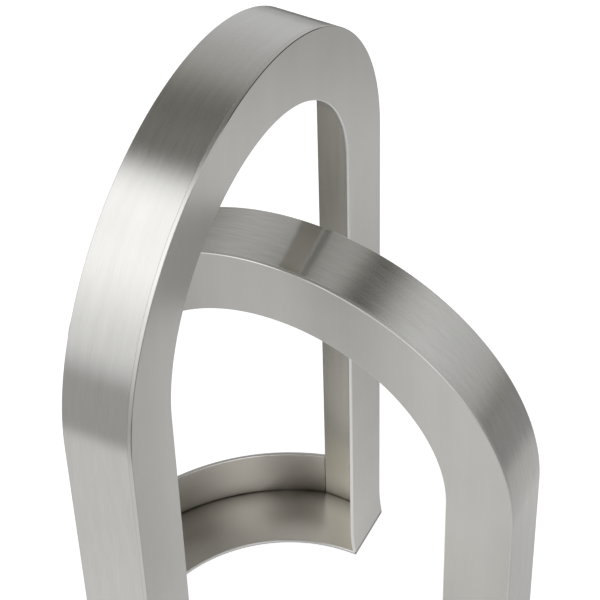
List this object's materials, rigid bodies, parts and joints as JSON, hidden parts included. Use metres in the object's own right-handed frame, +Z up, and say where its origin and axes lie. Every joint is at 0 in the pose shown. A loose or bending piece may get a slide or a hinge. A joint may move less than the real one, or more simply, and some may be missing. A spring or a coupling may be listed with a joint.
{
  "type": "abstract interlocked-arch sculpture",
  "caption": "Free-standing abstract sculpture of satin steel sheet: an endless L-section band rises as a tall arch and, threaded through it, a lower arch, joined by curved base sections.",
  "frame": {"origin": "on the floor, at the centre of the footprint, midway between the legs of both arches", "axes": "+Z up; the tall arch stands along X with its face looking along -Y; the low arch stands along Y with its face looking along -X; the rear legs and the open tray are on the +X and +Y sides"},
  "size_m": [0.36, 0.36, 0.62],
  "materials": {
    "satin_face": "satin steel sheet, fine even grain",
    "brushed_rim": "steel strip brushed along its length, glossier than the face"
  },
  "bodies": {
    "root": {"tall_arch_face": "satin_face", "tall_arch_rim": "brushed_rim", "low_arch_face": "satin_face", "low_arch_rim": "brushed_rim", "rear_tray_floor": "satin_face", "rear_tray_wall": "brushed_rim", "front_bridge_top": "satin_face", "front_bridge_wall": "brushed_rim"}
  },
  "joints": []
}
